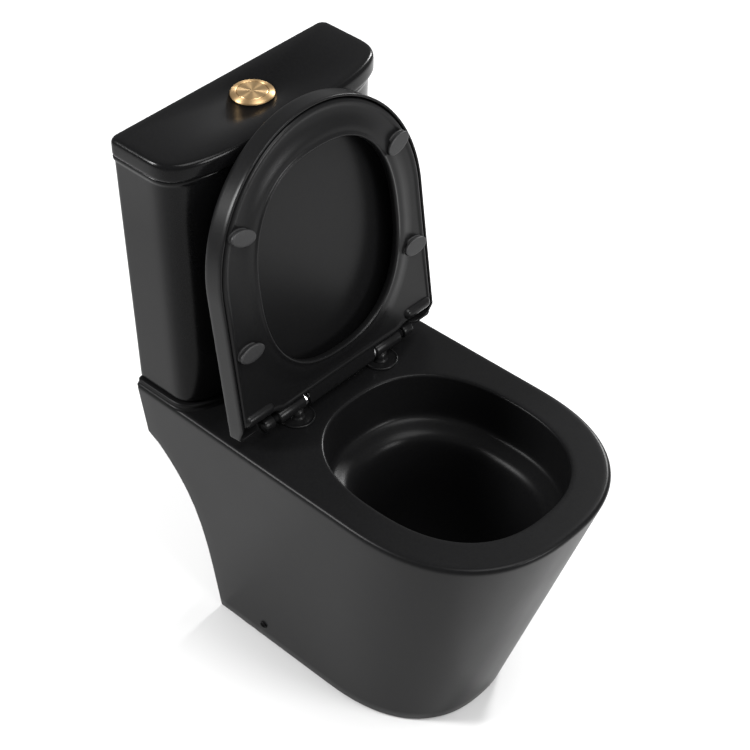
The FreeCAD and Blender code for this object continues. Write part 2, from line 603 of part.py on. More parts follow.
# ---- seat and seat lid, drawn closed and then swung open about the hinge -------------------
OPEN = Placement(Vector(0, 0, 0), Rotation(Vector(1, 0, 0), -size["open_angle"]), Vector(0, axis_y, axis_z))
rim = size["rim_plane"]
bore = size["pin_radius"] + size["pin_fit"]
bend = size["side_bend"]


def swung(name, shape):
    """A piece that rests in the open pose."""
    item = made(name, shape)
    item.Placement = OPEN
    return item


def lid_wire(z, inset):
    """The seat lid's plan, straight at the back, with an elliptical front."""
    half = size["lid_half_width"] - inset
    front = size["lid_front"] + inset
    return front_rounded(size["lid_rear"] - inset, bend, front, half, half, 2, z)


lid_top = rim + size["lid_depth"]
lid = Part.Face(lid_wire(rim, 0)).extrude(Vector(0, 0, size["lid_depth"]))
lid = rounded(lid, 4, lambda edge: edge.BoundBox.ZLength > 20 and edge.BoundBox.YMin > size["lid_rear"] - 6)
lid = rounded(lid, 2.5, at_height(lid_top))
skin = size["lid_skin"]
lid = lid.cut(Part.Face(lid_wire(rim - 5, skin)).extrude(Vector(0, 0, size["lid_depth"] + 5 - skin)))
notch = size["lug_end"] + 4
notch_y = size["lid_rear"] - 6
lid = lid.cut(block((-notch, notch_y, rim - 5), (notch, notch_y + 11, lid_top - skin)))
heel_gap = block((-size["pan_half_width"], notch_y, rim - 5), (size["pan_half_width"], notch_y + 11, rim + 8))
lid = lid.cut(heel_gap)
swung("seat_lid", lid)

lug = along_x(size["lug_radius"], size["lug_start"], size["lug_end"])
web = block((size["lug_start"], axis_y - 7, axis_z), (size["lug_end"], axis_y + 0.5, lid_top - skin))
web = web.fuse(block((size["lug_start"], axis_y - 34, lid_top - skin - 3),
                     (size["lug_end"], axis_y - 2, lid_top - skin)))
lug = lug.fuse(web).cut(along_x(bore, size["lug_start"] - 10, size["lug_end"] + 10))
swung("lid_lugs", both_sides(lug))

pads = []
for from_side, y in ((36, axis_y - 80), (26, axis_y - 220)):
    x = size["lid_half_width"] - from_side
    pads.append(cylinder(8, Vector(x, y, rim + size["seat_depth"] + size["buffer_gap"]),
                         Vector(x, y, lid_top - skin)))
swung("lid_buffers", both_sides(Part.makeCompound(pads)))

hole_y = size["hole_middle"]
hole_power = size["hole_squareness"]
seat_rear = size["seat_rear"]
seat = Part.Face(front_rounded(seat_rear - 6, bend, size["seat_front"], size["seat_half_width"],
                               size["seat_half_width"], 2, rim - 1.5)).extrude(
    Vector(0, 0, size["seat_depth"] + 1.5))
seat = rounded(seat, 4, lambda edge: edge.BoundBox.ZLength > 15 and edge.BoundBox.YMin > seat_rear - 17)
heel = size["lug_start"] - 4
seat = seat.fuse(block((-heel, seat_rear - 17, rim - 1.5), (heel, seat_rear, rim + size["seat_depth"])))
seat = rounded(seat, 3, at_height(rim + size["seat_depth"], seat_rear - 8))
lip = loft([
    oval(hole_y, size["hole_half_width"] + size["lip_spread"], size["hole_half_length"] + size["lip_spread"],
         hole_power, rim - 1.5),
    oval(hole_y, size["hole_half_width"] + size["lip_width"], size["hole_half_length"] + size["lip_width"],
         hole_power, rim - size["lip_height"])], True)
knuckle = along_x(size["barrel_radius"] + size["knuckle_spread"], -size["knuckle_end"], size["knuckle_end"])
bridge = block((-size["knuckle_end"], seat_rear - 7, rim - 1.3),
               (size["knuckle_end"], axis_y, rim + size["seat_depth"]))
hole_edge = oval(hole_y, size["hole_half_width"], size["hole_half_length"], hole_power, rim - 20)
opening = Part.Face(hole_edge).extrude(Vector(0, 0, 60))
bevel = loft([
    oval(hole_y, size["hole_half_width"] - 1, size["hole_half_length"] - 1, hole_power, rim + 1),
    oval(hole_y, size["hole_half_width"] + 24, size["hole_half_length"] + 20, hole_power,
         rim + size["seat_depth"] + 1)], True)
bore_start = size["knuckle_end"] - size["pin_reach"] - 2
seat = seat.fuse([lip, knuckle, bridge]).cut(
    [opening, bevel, along_x(bore, bore_start, size["knuckle_end"] + 10),
     along_x(bore, -size["knuckle_end"] - 10, -bore_start)])
swung("seat_ring", seat)

feet = []
for from_side, y, turn in ((25.5, axis_y - 127, 0), (38.5, axis_y - 286, 20)):
    x = size["seat_half_width"] - from_side
    half = size["buffer_half_length"] - size["buffer_half_width"]
    foot_depth = size["buffer_height"] - 1.5
    foot = block((-half, -size["buffer_half_width"], 0), (half, size["buffer_half_width"], foot_depth))
    for end in (-half, half):
        foot = foot.fuse(Part.makeCylinder(size["buffer_half_width"], foot_depth, Vector(end, 0, 0)))
    foot = foot.removeSplitter()
    foot = rounded(foot, 1.5, at_height(0))
    foot.Placement = Placement(Vector(x, y, rim - size["buffer_height"]), Rotation(Vector(0, 0, 1), -turn))
    feet.append(foot.cut(seat))
swung("seat_buffers", both_sides(Part.makeCompound(feet)))

# ---- floor brackets ------------------------------------------------------------------------
bracket_z = size["bracket_z"]
wall_x = size["base_half_width"] - casting + side_slope * bracket_z
plate_x = wall_x - size["bracket_gap"]
thick = size["bracket_thick"]
bracket_low = size["bracket_y"] - size["bracket_half"]
bracket_high = size["bracket_y"] + size["bracket_half"]


def across(radius, start, end):
    """A cylinder along X through the bracket's screw line."""
    line_y = size["bracket_y"]
    return cylinder(radius, Vector(start, line_y, bracket_z), Vector(end, line_y, bracket_z))


bracket = block((wall_x - size["bracket_foot"], bracket_low, 0), (plate_x, bracket_high, thick))
upright_plate = block((plate_x - thick, bracket_low, 0), (plate_x, bracket_high, size["bracket_height"]))
bracket = bracket.fuse(upright_plate)
floor_hole = Vector(wall_x - size["bracket_foot"] + 20, size["bracket_y"], -5)
screw_hole = size["screw_radius"] + 0.1
bracket = bracket.cut([cylinder(size["bolt_radius"], floor_hole, floor_hole + Vector(0, 0, 15)),
                       across(screw_hole, plate_x - thick - 3, wall_x)])
made("floor_brackets", both_sides(bracket))
screw_head = wall_x + 5
plug_start = wall_x + 8
screw = across(size["screw_radius"], plate_x - thick - 5, plug_start)
screw = screw.fuse(across(size["side_hole"] - 0.2, screw_head, plug_start))
made("side_screws", both_sides(screw))
bush = across(size["side_hole"] - 0.05, plate_x + 0.05, screw_head)
made("side_bushes", both_sides(bush.cut(across(screw_hole, wall_x - 20, wall_x + 20))))
made("side_caps", both_sides(across(size["side_hole"] - 0.1, plug_start, plug_start + 5)))

# ---- check and export ----------------------------------------------------------------------
doc.recompute()
for item in doc.Objects:
    if "Invalid" in item.State or "Error" in item.State:
        raise RuntimeError("%s did not compute" % item.Label)
pieces = [item for item in doc.Objects
          if item.TypeId in ("PartDesign::Body", "Part::Feature") and not item.Label.endswith("_master")]
for item in pieces:
    if item.Shape.isNull() or not item.Shape.isValid() or not item.Shape.Solids:
        raise RuntimeError("%s has no valid solid" % item.Label)
    item.Shape.exportStep("parts/%s.step" % item.Label)
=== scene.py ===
import json
import math
import bmesh
import bpy
from mathutils import Matrix, Vector


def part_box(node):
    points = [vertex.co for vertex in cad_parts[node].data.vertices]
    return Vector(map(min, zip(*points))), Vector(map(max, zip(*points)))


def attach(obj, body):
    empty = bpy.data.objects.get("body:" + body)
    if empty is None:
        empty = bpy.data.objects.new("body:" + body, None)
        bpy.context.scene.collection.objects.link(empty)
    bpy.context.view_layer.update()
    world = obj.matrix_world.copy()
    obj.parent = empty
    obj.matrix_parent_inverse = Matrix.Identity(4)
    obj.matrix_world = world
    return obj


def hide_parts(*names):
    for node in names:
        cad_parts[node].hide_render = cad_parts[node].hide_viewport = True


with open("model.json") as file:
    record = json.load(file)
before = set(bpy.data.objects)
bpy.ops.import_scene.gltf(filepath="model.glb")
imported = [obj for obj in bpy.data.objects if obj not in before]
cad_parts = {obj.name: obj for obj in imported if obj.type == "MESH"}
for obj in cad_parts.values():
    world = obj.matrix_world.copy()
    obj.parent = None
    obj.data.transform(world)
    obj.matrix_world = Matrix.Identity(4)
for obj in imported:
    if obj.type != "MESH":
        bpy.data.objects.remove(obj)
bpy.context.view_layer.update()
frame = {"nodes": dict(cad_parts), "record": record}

# The pan is one vitreous china casting with a satin black glaze. Its sides are shaped in a mould
# from the floor's small plan to the wide flat deck, the bowl is pressed down through the deck, and
# the back is left open behind the side walls for the pipes.
tank_low, tank_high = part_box("cistern_tank")
plinth_height = 0.008
deck_z = tank_low[2] - plinth_height
deck_round = 0.0075
pan_back = 0.296
foot_half, deck_half = 0.125, 0.180
foot_half_rear, deck_half_rear = 0.122, 0.175
foot_front, deck_front = -0.160, -0.296
deck_bend = -0.094
sweep_foot, sweep_head = 0.218, 0.281
sweep_top, shelf_z = 0.303, 0.314
pan_power, pan_corner = 2.4, 0.004


def d_plan(rear, bend, front, half_rear, half_bend, power, corner=0.006):
    """The points of a plan with a straight back, straight sides and a superellipse front."""
    back_steps, corner_steps, side_steps, front_steps = 30, 8, 14, 80
    corner_y = rear - corner
    back = []
    for i in range(back_steps + 1):
        back.append((half_rear * (-1 + 2 * i / back_steps) * (1 - corner / half_rear), rear))
    right = []
    for i in range(1, corner_steps):
        turn = math.pi / 2 * i / corner_steps
        right.append((half_rear - corner + corner * math.sin(turn), corner_y + corner * math.cos(turn)))
    for i in range(side_steps):
        part = i / side_steps
        right.append((half_rear + (half_bend - half_rear) * part, corner_y + (bend - rear + corner) * part))
    round_front = []
    for i in range(front_steps + 1):
        turn = math.pi * i / front_steps
        across, along = math.cos(turn), math.sin(turn)
        round_front.append((math.copysign(abs(across) ** (2 / power), across) * half_bend,
                            bend - (bend - front) * along ** (2 / power)))
    left = [(-x, y) for x, y in reversed(right)]
    return back + right + round_front + left


def oval_like(plan, middle, half_x, half_y, power):
    """An oval whose points lie in the same directions from its middle as a plan's points."""
    points = []
    for x, y in plan:
        turn = math.atan2(y - middle, x)
        across, along = abs(math.cos(turn)) / half_x, abs(math.sin(turn)) / half_y
        reach = (across ** power + along ** power) ** (-1 / power)
        points.append((reach * math.cos(turn), middle + reach * math.sin(turn)))
    return points


def level(points, height):
    """A plan's points at one height."""
    return [Vector((x, y, height)) for x, y in points]


def edges_of(bm, ring):
    """The edges of a closed ring of vertices."""
    return [bm.edges.get((ring[i - 1], ring[i])) for i in range(len(ring))]


def skin(bm, loops):
    """Extrudes the first loop's edges through each of the others and returns the rings of vertices."""
    ring = [bm.verts.new(spot) for spot in loops[0]]
    for i in range(len(ring)):
        bm.edges.new((ring[i - 1], ring[i]))
    rings = [ring]
    for loop in loops[1:]:
        grown = bmesh.ops.extrude_edge_only(bm, edges=edges_of(bm, ring))["geom"]
        fresh = {item for item in grown if isinstance(item, bmesh.types.BMVert)}
        ring = [next(edge.other_vert(corner) for edge in corner.link_edges
                     if edge.other_vert(corner) in fresh) for corner in ring]
        for corner, spot in zip(ring, loop):
            corner.co = spot
        rings.append(ring)
    return rings


def cap(bm, ring):
    """A flat face that closes a ring."""
    bmesh.ops.contextual_create(bm, geom=edges_of(bm, ring))


def finished(name, bm, material, body, nodes, smooth=True):
    """The piece as an object that rides on its body in place of its CAD nodes."""
    bmesh.ops.remove_doubles(bm, verts=bm.verts, dist=1e-6)
    bmesh.ops.recalc_face_normals(bm, faces=bm.faces)
    mesh = bpy.data.meshes.new(name)
    bm.to_mesh(mesh)
    bm.free()
    if smooth:
        mesh.shade_smooth()
    mesh.materials.append(material)
    piece = bpy.data.objects.new(name, mesh)
    bpy.context.scene.collection.objects.link(piece)
    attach(piece, body)
    if nodes:
        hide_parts(*nodes)
    return piece


def glaze(name, colour, roughness, ripple, sheen):
    """A black finish with a faint cloud of roughness, fine specks and a shallow skin ripple."""
    material = bpy.data.materials.new(name)
    material.use_nodes = True
    nodes, links = material.node_tree.nodes, material.node_tree.links
    shader = nodes["Principled BSDF"]
    shader.inputs["Specular IOR Level"].default_value = sheen
    place = nodes.new("ShaderNodeTexCoord")
    cloud = nodes.new("ShaderNodeTexNoise")
    cloud.inputs["Scale"].default_value = 9
    cloud.inputs["Detail"].default_value = 5
    links.new(place.outputs["Object"], cloud.inputs["Vector"])
    spread = nodes.new("ShaderNodeMapRange")
    spread.inputs["To Min"].default_value = roughness - 0.035
    spread.inputs["To Max"].default_value = roughness + 0.035
    links.new(cloud.outputs["Fac"], spread.inputs["Value"])
    links.new(spread.outputs["Result"], shader.inputs["Roughness"])
    specks = nodes.new("ShaderNodeTexNoise")
    specks.inputs["Scale"].default_value = 420
    specks.inputs["Detail"].default_value = 3
    links.new(place.outputs["Object"], specks.inputs["Vector"])
    tint = nodes.new("ShaderNodeValToRGB")
    tint.color_ramp.elements[0].position = 0.3
    tint.color_ramp.elements[0].color = [c * 0.8 for c in colour] + [1]
    tint.color_ramp.elements[1].position = 0.75
    tint.color_ramp.elements[1].color = [c * 1.2 for c in colour] + [1]
    links.new(specks.outputs["Fac"], tint.inputs["Fac"])
    links.new(tint.outputs["Color"], shader.inputs["Base Color"])
    wave = nodes.new("ShaderNodeTexNoise")
    wave.inputs["Scale"].default_value = 60
    wave.inputs["Detail"].default_value = 2
    links.new(place.outputs["Object"], wave.inputs["Vector"])
    bump = nodes.new("ShaderNodeBump")
    bump.inputs["Strength"].default_value = ripple
    bump.inputs["Distance"].default_value = 0.0004
    links.new(wave.outputs["Fac"], bump.inputs["Height"])
    links.new(bump.outputs["Normal"], shader.inputs["Normal"])
    return material


satin_glaze = glaze("satin_black_glaze", (0.0044, 0.0044, 0.0046), 0.31, 0.08, 0.070)


def pan_plan(height, inset=0.0):
    """The pan's plan at a height: straight between the floor's plan and the deck's."""
    part = height / deck_z
    rear = pan_back
    if height < sweep_top:
        rear = sweep_foot + (sweep_head - sweep_foot) * (height / sweep_top) ** 4.5
    elif height < shelf_z:
        rear = sweep_head + (pan_back - sweep_head) * ((height - sweep_top) / (shelf_z - sweep_top)) ** 0.8
    half_bend = foot_half + (deck_half - foot_half) * part - inset
    half_rear = foot_half_rear + (deck_half_rear - foot_half_rear) * part - inset
    bend = deck_bend * part
    front = foot_front + (deck_front - foot_front) * part + inset
    rear_part = (pan_back - rear) / (pan_back - bend)
    half_rear += (half_bend - half_rear) * rear_part
    if rear == pan_back:
        rear -= inset
    return d_plan(rear, bend, front, half_rear, half_bend, pan_power, pan_corner)


pan_mesh = bmesh.new()
deck_plan = pan_plan(deck_z)
outer_loops = []
for height in (0.0, 0.004, 0.02, 0.05, 0.09, 0.13, 0.17, 0.205, 0.235, 0.26, 0.28, 0.294, 0.303,
               0.307, 0.3105, 0.314, 0.32, 0.35, 0.38, deck_z - deck_round - 0.004):
    outer_loops.append(level(pan_plan(height, 0.002 if height == 0 else 0), height))
for step in range(0, 7):
    turn = math.pi / 2 * step / 6
    height = deck_z - deck_round * (1 - math.sin(turn))
    outer_loops.append(level(pan_plan(height, deck_round * (1 - math.cos(turn))), height))
outer_loops.append(level(pan_plan(deck_z, deck_round + 0.004), deck_z))

# The bowl is pressed into the same casting: a crisp mouth, an upright wall, a soft ledge and the deep
# basin, down to the sump.
bowl_middle = -0.090
bowl_loops = []


def bowl_loop(half_x, half_y, height, middle=bowl_middle, power=2.4):
    """One level loop of the bowl."""
    bowl_loops.append(level(oval_like(deck_plan, middle, half_x, half_y, power), height))


mouth_x, mouth_y, mouth_round = 0.131, 0.157, 0.004
bowl_loop(mouth_x + mouth_round + 0.004, mouth_y + mouth_round + 0.004, deck_z)
for step in range(0, 6):
    turn = math.pi / 2 * step / 5
    spread = mouth_round * (1 - math.sin(turn))
    bowl_loop(mouth_x + spread, mouth_y + spread, deck_z - mouth_round * (1 - math.cos(turn)))
wall_foot = deck_z - 0.062
bowl_loop(mouth_x - 0.001, mouth_y - 0.001, deck_z - 0.030)
bowl_loop(mouth_x - 0.0020, mouth_y - 0.0030, wall_foot + 0.008)
for inset, drop in ((0.0026, -0.0030), (0.0032, 0.0010), (0.0043, 0.0042), (0.0062, 0.0068), (0.0088, 0.0085),
                    (0.0120, 0.0098), (0.0160, 0.0112), (0.0200, 0.0127), (0.0235, 0.0144), (0.0265, 0.0166),
                    (0.0292, 0.0196), (0.0314, 0.0234), (0.0332, 0.0285), (0.0347, 0.0350)):
    bowl_loop(mouth_x - inset, mouth_y - inset * 1.02, wall_foot - drop, bowl_middle - inset * 0.05, 2.4)
for inset_x, inset_y, drop, shift in (
        (0.0380, 0.0400, 0.060, 0.001), (0.0415, 0.0450, 0.090, 0.003), (0.0460, 0.0520, 0.120, 0.007),
        (0.0530, 0.0640, 0.150, 0.014), (0.0640, 0.0820, 0.178, 0.026), (0.0780, 0.1010, 0.198, 0.037),
        (0.0920, 0.1180, 0.210, 0.044), (0.1040, 0.1310, 0.215, 0.047)):
    bowl_loop(mouth_x - inset_x, mouth_y - inset_y, wall_foot - drop, bowl_middle + shift, 2.2)
pan_rings = skin(pan_mesh, outer_loops + bowl_loops)
cap(pan_mesh, pan_rings[-1])
bmesh.ops.recalc_face_normals(pan_mesh, faces=pan_mesh.faces)
opening_half, opening_front, opening_top = 0.118, 0.2, 0.3
behind = []
for face in pan_mesh.faces:
    middle = face.calc_center_median()
    inside = abs(middle.x) < opening_half and middle.y > opening_front and middle.z < opening_top
    if inside and abs(face.normal.y) > 0.3:
        behind.append(face)
bmesh.ops.delete(pan_mesh, geom=behind, context="FACES")
pan = finished("pan_casting", pan_mesh, satin_glaze, "pan_and_cistern", ["pan"])
thickness = pan.modifiers.new("casting_wall", "SOLIDIFY")
thickness.thickness = 0.007
thickness.offset = -1

# The plinth is part of the casting: a low step on the deck that the cistern stands on. Its foot runs
# into the deck in a soft curve, and its top edge is just eased.
cistern_bend, cistern_power = 0.235, 2.9
plinth_front, plinth_half = 0.177, 0.1725
plinth_mesh = bmesh.new()
plinth_loops = []


def plinth_plan(spread):
    """The plinth's plan, a little wider than the cistern's foot."""
    return d_plan(pan_back - 0.0005 + min(spread, 0), cistern_bend, plinth_front - spread,
                  plinth_half + spread, plinth_half + spread, cistern_power, 0.006)


for spread, height in ((-0.004, deck_z - 0.004), (0.0035, deck_z - 0.001), (0.0015, deck_z + 0.0008),
                       (0.0005, deck_z + 0.002), (0.0, deck_z + 0.004), (0.0, deck_z + 0.0062),
                       (-0.0006, deck_z + 0.0074), (-0.0018, deck_z + 0.008), (-0.004, deck_z + 0.008)):
    plinth_loops.append(level(plinth_plan(spread), height))
plinth_rings = skin(plinth_mesh, plinth_loops)
cap(plinth_mesh, plinth_rings[0])
cap(plinth_mesh, plinth_rings[-1])
finished("plinth", plinth_mesh, satin_glaze, "pan_and_cistern", ["pan"])

# The trap is cast with the pan: a bent pipe from behind the sump over the weir to the outlet's spigot,
# which takes the waste pipe's connector.
trap_radius, outlet_z = 0.046, 0.180
trap_curve = bpy.data.curves.new("trap_line", "CURVE")
trap_curve.dimensions = "3D"
run = trap_curve.splines.new("BEZIER")
trap_points = ((0.040, 0.150), (0.056, 0.160), (0.078, 0.192), (0.112, 0.214), (0.160, 0.194),
               (0.205, outlet_z))
run.bezier_points.add(len(trap_points) - 1)
for point, (along, height) in zip(run.bezier_points, trap_points):
    point.co = (0, along, height)
    point.handle_left_type = point.handle_right_type = "AUTO"
trap_curve.bevel_depth = trap_radius
trap_curve.bevel_resolution = 12
trap_curve.resolution_u = 12
trap_curve.use_fill_caps = True
trap_line = bpy.data.objects.new("trap_line", trap_curve)
trap_mesh = bmesh.new()
trap_mesh.from_mesh(bpy.data.meshes.new_from_object(trap_line))
bpy.data.objects.remove(trap_line)
finished("trap", trap_mesh, satin_glaze, "pan_and_cistern", ["pan"])


def lathe(bm, profile, middle, tilt=None, steps=96):
    """Spins a profile of (radius, height) about an upright line through middle."""
    corners = [bm.verts.new((radius, 0, height)) for radius, height in profile]
    lines = [bm.edges.new(pair) for pair in zip(corners, corners[1:])]
    bmesh.ops.spin(bm, geom=corners + lines, cent=(0, 0, 0), axis=(0, 0, 1), angle=2 * math.pi,
                   steps=steps, use_merge=True)
    bmesh.ops.remove_doubles(bm, verts=bm.verts, dist=1e-6)
    turn = tilt or Matrix.Identity(4)
    bmesh.ops.transform(bm, matrix=Matrix.Translation(middle) @ turn, verts=bm.verts)


spigot_mesh = bmesh.new()
lathe(spigot_mesh, [(0.030, 0.0), (0.047, 0.0), (0.051, 0.004), (0.051, 0.064), (0.0495, 0.066),
                    (0.0445, 0.066), (0.043, 0.064), (0.043, 0.006), (0.0, 0.006)],
      (0, 0.196, outlet_z), Matrix.Rotation(-math.pi / 2, 4, "X"))
finished("outlet_spigot", spigot_mesh, satin_glaze, "pan_and_cistern", ["pan"])

# The cistern is a thin-walled china box, open at the top. It stands on the plinth and widens a
# little towards its lid; its front corners are drawn in wide curves.
gloss_glaze = glaze("gloss_black_glaze", (0.0032, 0.0032, 0.0034), 0.21, 0.06, 0.095)
tank_mesh = bmesh.new()
tank_foot, tank_top = tank_low[2], tank_high[2]
tank_foot_half, tank_foot_front, tank_spread = 0.168, 0.182, 0.010


def tank_plan(height, inset=0.0):
    """The cistern's plan at a height."""
    part = (height - tank_foot) / (tank_top - tank_foot)
    half = tank_foot_half + tank_spread * part - inset
    front = tank_foot_front - tank_spread * part + inset
    return d_plan(tank_high[1] - inset, cistern_bend, front, half, half, cistern_power, 0.008)


tank_loops = []
for inset, height in ((0.006, tank_foot + 0.0002), (0.0028, tank_foot + 0.0006), (0.0012, tank_foot + 0.0016),
                      (0.0003, tank_foot + 0.003), (0.0, tank_foot + 0.005), (0.0, tank_foot + 0.012),
                      (0.0, tank_foot + 0.08), (0.0, tank_foot + 0.17), (0.0, tank_foot + 0.26),
                      (0.0, tank_top - 0.0105), (-0.0002, tank_top - 0.0088),
                      (-0.0007, tank_top - 0.0072), (-0.0012, tank_top - 0.0060),
                      (-0.0015, tank_top - 0.0046), (-0.0015, tank_top - 0.0026),
                      (-0.0010, tank_top - 0.0012), (0.0, tank_top - 0.0004),
                      (0.0035, tank_top - 0.0002), (0.0065, tank_top - 0.0002),
                      (0.0085, tank_top - 0.002), (0.009, tank_top - 0.006), (0.009, tank_foot + 0.02),
                      (0.012, tank_foot + 0.013), (0.018, tank_foot + 0.012)):
    tank_loops.append(level(tank_plan(height, inset), height))
tank_rings = skin(tank_mesh, tank_loops)
cap(tank_mesh, tank_rings[0])
cap(tank_mesh, tank_rings[-1])
finished("cistern_tank_body", tank_mesh, gloss_glaze, "pan_and_cistern", ["cistern_tank"])

# The cistern's lid is a thick china slab with eased edges. A tongue under it drops inside the tank,
# and a round hole through it takes the flush button.
cover_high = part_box("cistern_lid")[1]
flange_low, flange_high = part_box("button_flange")
button_y = (flange_low[1] + flange_high[1]) / 2
cover_foot, cover_top = tank_top + 0.0004, cover_high[2]
cover_half, cover_front, cover_power = 0.182, 0.168, 3.2
hole_radius = 0.0232
cover_mesh = bmesh.new()


def cover_plan(inset):
    """The lid's plan, set in by inset."""
    half = cover_half - inset
    return d_plan(cover_high[1] - inset, cistern_bend, cover_front + inset, half, half, cover_power, 0.010)


cover_loops = []
for inset, height in ((0.0120, cover_foot + 0.0003), (0.0050, cover_foot + 0.0003),
                      (0.0022, cover_foot + 0.0008), (0.0008, cover_foot + 0.0020),
                      (0.0001, cover_foot + 0.0038), (0.0, cover_foot + 0.0065),
                      (0.0, cover_top - 0.0085), (0.0002, cover_top - 0.0058), (0.0009, cover_top - 0.0036),
                      (0.0021, cover_top - 0.0017), (0.0038, cover_top - 0.0005), (0.0060, cover_top),
                      (0.0120, cover_top)):
    cover_loops.append(level(cover_plan(inset), height))
around = oval_like(cover_plan(0.012), button_y, hole_radius + 0.0008, hole_radius + 0.0008, 2)
mouth = oval_like(cover_plan(0.012), button_y, hole_radius, hole_radius, 2)
cover_loops.append(level(around, cover_top))
cover_loops.append(level(mouth, cover_top - 0.001))
cover_loops.append(level(mouth, cover_top - 0.012))
for inset, height in ((0.025, cover_top - 0.012), (0.025, cover_foot - 0.010), (0.016, cover_foot - 0.010),
                      (0.016, cover_foot + 0.0003)):
    cover_loops.append(level(cover_plan(inset), height))
skin(cover_mesh, cover_loops + cover_loops[:1])
finished("cistern_lid_slab", cover_mesh, gloss_glaze, "pan_and_cistern", ["cistern_lid"])

# The flush button is turned brass, brushed in rings. A flange covers the hole in the lid, and two
# half-round buttons slide in it, one for a full flush and one for a short one.
button_top = flange_high[2]


def brushed_brass(name, roughness):
    """Brass with fine turned rings about the button's own centre."""
    material = bpy.data.materials.new(name)
    material.use_nodes = True
    nodes, links = material.node_tree.nodes, material.node_tree.links
    shader = nodes["Principled BSDF"]
    shader.inputs["Metallic"].default_value = 1
    shader.inputs["Roughness"].default_value = roughness
    place = nodes.new("ShaderNodeTexCoord")
    centre = nodes.new("ShaderNodeMapping")
    centre.vector_type = "POINT"
    centre.inputs["Location"].default_value = (0, -button_y, -button_top)
    links.new(place.outputs["Object"], centre.inputs["Vector"])
    flat = nodes.new("ShaderNodeVectorMath")
    flat.operation = "MULTIPLY"
    flat.inputs[1].default_value = (1, 1, 0)
    links.new(centre.outputs["Vector"], flat.inputs[0])
    reach = nodes.new("ShaderNodeVectorMath")
    reach.operation = "LENGTH"
    links.new(flat.outputs["Vector"], reach.inputs[0])
    rings = nodes.new("ShaderNodeTexNoise")
    rings.noise_dimensions = "1D"
    rings.inputs["Scale"].default_value = 3200
    rings.inputs["Detail"].default_value = 3
    links.new(reach.outputs["Value"], rings.inputs["W"])
    tint = nodes.new("ShaderNodeValToRGB")
    tint.color_ramp.elements[0].position = 0.3
    tint.color_ramp.elements[0].color = (0.46, 0.305, 0.150, 1)
    tint.color_ramp.elements[1].position = 0.7
    tint.color_ramp.elements[1].color = (0.67, 0.465, 0.245, 1)
    links.new(rings.outputs["Fac"], tint.inputs["Fac"])
    links.new(tint.outputs["Color"], shader.inputs["Base Color"])
    spoke = nodes.new("ShaderNodeVectorMath")
    spoke.operation = "NORMALIZE"
    links.new(flat.outputs["Vector"], spoke.inputs[0])
    shader.inputs["Anisotropic"].default_value = 0.88
    links.new(spoke.outputs["Vector"], shader.inputs["Tangent"])
    bump = nodes.new("ShaderNodeBump")
    bump.inputs["Strength"].default_value = 0.25
    bump.inputs["Distance"].default_value = 0.00003
    links.new(rings.outputs["Fac"], bump.inputs["Height"])
    links.new(bump.outputs["Normal"], shader.inputs["Normal"])
    return material


brass = brushed_brass("brushed_brass", 0.36)
flange_brass = brushed_brass("flange_brass", 0.50)
flange_mesh = bmesh.new()
lathe(flange_mesh, [
    (0.0200, -0.0340), (0.0230, -0.0340), (0.0230, 0.0001), (0.0272, 0.0001), (0.0276, 0.0005),
    (0.0276, 0.0014), (0.0274, 0.0021), (0.0268, 0.0028), (0.0258, 0.0034), (0.0244, 0.0039),
    (0.0226, 0.0043), (0.0206, 0.0045), (0.0201, 0.0043), (0.0200, 0.0038), (0.0200, -0.0340)],
      (0, button_y, cover_top))
finished("button_flange_ring", flange_mesh, flange_brass, "pan_and_cistern", ["button_flange"])
split_turn = math.radians(12)
for name, body, side in (("full_flush_cap", "full_button", 1), ("half_flush_cap", "half_button", -1)):
    half_mesh = bmesh.new()
    lathe(half_mesh, [(0.0, -0.0200), (0.0188, -0.0200), (0.0194, -0.0196), (0.0194, -0.0010),
                      (0.0192, -0.0004), (0.0187, 0.0), (0.0180, 0.0), (0.0, 0.0)],
          (0, 0, 0))
    bmesh.ops.bisect_plane(half_mesh, geom=half_mesh.verts[:] + half_mesh.edges[:] + half_mesh.faces[:],
                           plane_co=(side * 0.0002, 0, 0), plane_no=(side, 0, 0), clear_inner=True)
    rim = [edge for edge in half_mesh.edges if edge.is_boundary]
    bmesh.ops.contextual_create(half_mesh, geom=rim)
    bmesh.ops.transform(half_mesh, matrix=Matrix.Translation((0, button_y, button_top - 0.0001)) @
                        Matrix.Rotation(split_turn, 4, "Z"), verts=half_mesh.verts)
    node = "full_flush_button" if side > 0 else "half_flush_button"
    finished(name, half_mesh, brass, body, [node], smooth=False)

# The seat is a moulded black plastic ring. Its underside has a proud lip round the hole, a long soft
# slope out to a bead along the edge, and a roll at the back that turns on the hinge pins.
joints = {joint["name"]: joint for joint in frame["record"]["behaviour"]["joints"]}
hinge = Vector(joints["lid_hinge"]["pos_m"])
open_angle = math.radians(joints["lid_hinge"]["range_deg"][1])
swing_open = Matrix.Translation(hinge) @ Matrix.Rotation(-open_angle, 4, "X") @ Matrix.Translation(-hinge)
seat_plastic = glaze("satin_black_plastic", (0.0052, 0.0052, 0.0054), 0.29, 0.05, 0.115)
rim_z = 0.413
seat_top = rim_z + 0.019
side_bend = -0.110
seat_back, seat_front, seat_half = 0.081, -0.2930, 0.1714
hole_middle, hole_half_width, hole_half_length = -0.098, 0.119, 0.146
tongue_half, tongue_reach = 0.120, 0.006
seat_mesh = bmesh.new()
seat_plan = []
for x, y in d_plan(seat_back, side_bend, seat_front, seat_half, seat_half, 2, 0.009):
    if y > seat_back - 0.0005 and abs(x) < tongue_half:
        y += tongue_reach * min(1, (tongue_half - abs(x)) / 0.004)
    seat_plan.append((x, y))
seat_hole = oval_like(seat_plan, hole_middle, hole_half_width, hole_half_length, 2.4)
ring_loops = []


